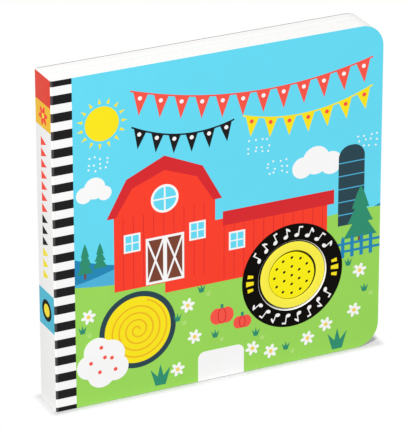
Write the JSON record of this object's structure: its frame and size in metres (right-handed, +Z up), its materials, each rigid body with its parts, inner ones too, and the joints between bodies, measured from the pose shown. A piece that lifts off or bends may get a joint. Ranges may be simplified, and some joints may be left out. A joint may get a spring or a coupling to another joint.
{
  "type": "children's sound book",
  "caption": "Square board book with a striped band at the spine, thick leaves and a round sound button that shows through a die-cut hole in the front cover.",
  "frame": {"origin": "middle of the footprint of the closed book, on the surface that it stands on", "axes": "+Z up along the spine, -Y out of the front cover, -X out of the spine"},
  "size_m": [0.19, 0.0204, 0.186],
  "materials": {
    "print_stripes_black": "laminated print",
    "print_sky": "laminated print",
    "print_stripes_white": "laminated print",
    "print_sun": "laminated print",
    "print_bunting_coral": "laminated print",
    "print_bunting_yellow": "laminated print",
    "print_bunting_black": "laminated print",
    "print_cloud_left": "laminated print",
    "print_cloud_right": "laminated print",
    "print_far_hills": "laminated print",
    "print_meadow": "laminated print",
    "print_silo": "laminated print",
    "print_barn_walls": "laminated print",
    "print_barn_roof": "laminated print",
    "print_wing_roof": "laminated print",
    "print_barn_door": "laminated print",
    "print_loft_window": "laminated print",
    "print_pine": "laminated print",
    "print_bale_outline": "laminated print",
    "print_button_ring": "laminated print",
    "print_tab": "laminated print",
    "print_bale": "laminated print",
    "print_bush": "laminated print",
    "spine_red_block": "laminated print",
    "spine_yellow_block": "laminated print",
    "spine_cyan_block": "laminated print",
    "spine_ring": "laminated print",
    "spine_dot": "laminated print",
    "front_cover_board": "cut greyboard, white faced",
    "spine_board": "laminated white wrap",
    "page_block": "coated board",
    "liner_sheet": "printed and coated",
    "block_core": "plain board",
    "back_cover_board": "plain board",
    "back_cover_print": "laminated print",
    "module_shell": "moulded",
    "module_tray": "moulded",
    "button_cap": "moulded",
    "switch_plunger": "moulded",
    "speaker_frame": "pressed",
    "speaker_cone": "pulp",
    "speaker_magnet": "plated",
    "circuit_board": "solder mask",
    "tact_switch": "moulded",
    "sound_chip": "potted",
    "capacitor": "fired",
    "speaker_lead_left": "insulated",
    "speaker_lead_right": "insulated",
    "button_cell_1": "plated",
    "button_cell_2": "plated",
    "button_cell_3": "plated",
    "contact_strip_long": "plated",
    "contact_strip_short": "plated",
    "housing_screw_1": "zinc plated",
    "housing_screw_2": "zinc plated",
    "housing_screw_3": "zinc plated",
    "housing_screw_4": "zinc plated",
    "door_screw": "zinc plated",
    "battery_door": "moulded"
  },
  "bodies": {
    "book_block": {"page_block": "page_block", "spine_board": "spine_board", "spine_red_block": "spine_red_block", "spine_yellow_block": "spine_yellow_block", "spine_cyan_block": "spine_cyan_block", "spine_ring": "spine_ring", "spine_dot": "spine_dot"},
    "front_cover": {"front_cover_board": "front_cover_board", "print_stripes_black": "print_stripes_black", "print_sky": "print_sky", "print_stripes_white": "print_stripes_white", "print_sun": "print_sun", "print_bunting_coral": "print_bunting_coral", "print_bunting_yellow": "print_bunting_yellow", "print_bunting_black": "print_bunting_black", "print_cloud_left": "print_cloud_left", "print_cloud_right": "print_cloud_right", "print_far_hills": "print_far_hills", "print_meadow": "print_meadow", "print_silo": "print_silo", "print_barn_walls": "print_barn_walls", "print_barn_roof": "print_barn_roof", "print_wing_roof": "print_wing_roof", "print_barn_door": "print_barn_door", "print_loft_window": "print_loft_window", "print_pine": "print_pine", "print_bale_outline": "print_bale_outline", "print_button_ring": "print_button_ring", "print_tab": "print_tab", "print_bale": "print_bale", "print_bush": "print_bush"},
    "back_cover": {"liner_sheet": "liner_sheet", "block_core": "block_core", "back_cover_board": "back_cover_board", "back_cover_print": "back_cover_print", "module_shell": "module_shell", "module_tray": "module_tray", "speaker_frame": "speaker_frame", "speaker_cone": "speaker_cone", "speaker_magnet": "speaker_magnet", "circuit_board": "circuit_board", "tact_switch": "tact_switch", "sound_chip": "sound_chip", "capacitor": "capacitor", "speaker_lead_left": "speaker_lead_left", "speaker_lead_right": "speaker_lead_right", "button_cell_1": "button_cell_1", "button_cell_2": "button_cell_2", "button_cell_3": "button_cell_3", "contact_strip_long": "contact_strip_long", "contact_strip_short": "contact_strip_short", "housing_screw_1": "housing_screw_1", "housing_screw_2": "housing_screw_2", "housing_screw_3": "housing_screw_3", "housing_screw_4": "housing_screw_4", "door_screw": "door_screw", "battery_door": "battery_door"},
    "sound_button": {"button_cap": "button_cap", "switch_plunger": "switch_plunger"}
  },
  "joints": [
    {"name": "front_cover_hinge", "type": "hinge", "parent": "book_block", "child": "front_cover", "pos_m": [-0.095, -0.0102, 0.093], "axis": [0, 0, -1], "range_deg": [0, 175]},
    {"name": "back_cover_hinge", "type": "hinge", "parent": "book_block", "child": "back_cover", "pos_m": [-0.095, 0.0102, 0.093], "axis": [0, 0, 1], "range_deg": [0, 175]},
    {"name": "sound_button_press", "type": "slide", "parent": "back_cover", "child": "sound_button", "axis": [0, 1, 0], "range_m": [0, 0.0009], "stiffness_N_per_m": 500, "springref_m": -0.0005}
  ]
}
